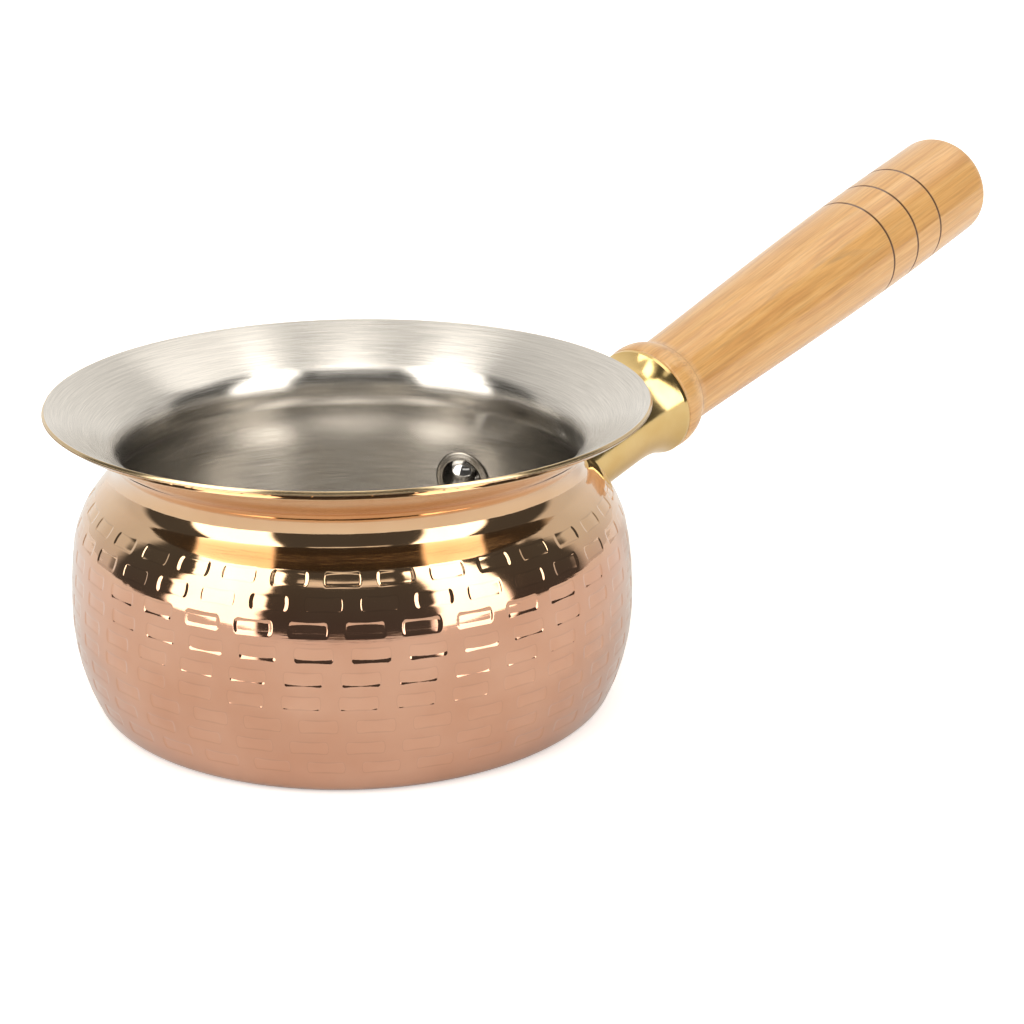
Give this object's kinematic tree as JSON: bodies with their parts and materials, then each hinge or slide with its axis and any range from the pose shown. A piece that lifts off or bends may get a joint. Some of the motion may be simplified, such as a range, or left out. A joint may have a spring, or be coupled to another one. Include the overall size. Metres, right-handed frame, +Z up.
{
  "type": "turkish coffee pot",
  "caption": "Small round-bellied copper coffee pot with a steel lining, flared rim, riveted brass bracket and turned wood handle.",
  "frame": {"origin": "centre of the flat base, on the surface that the pot stands on", "axes": "+Z up along the pot's axis; the handle points to +X and rises 13 degrees above the horizontal"},
  "size_m": [0.3, 0.121, 0.0826],
  "materials": {
    "polished_copper": "mirror-polished copper, stamped with rows of small rectangles",
    "brushed_steel": "satin stainless steel, brushed around the pot's axis",
    "polished_steel": "polished stainless steel",
    "cast_brass": "cast and polished yellow brass",
    "zinc_plated_steel": "zinc-plated steel",
    "varnished_wood": "turned hardwood, straight grain, satin varnish, burnt grooves"
  },
  "bodies": {
    "root": {"copper_body": "polished_copper", "steel_liner": "brushed_steel", "rivet_left": "polished_steel", "rivet_right": "polished_steel", "rivet_washer_left": "brushed_steel", "rivet_washer_right": "brushed_steel", "brass_bracket": "cast_brass", "handle_screw": "zinc_plated_steel", "spring_washer": "zinc_plated_steel", "wood_handle": "varnished_wood"}
  },
  "joints": []
}
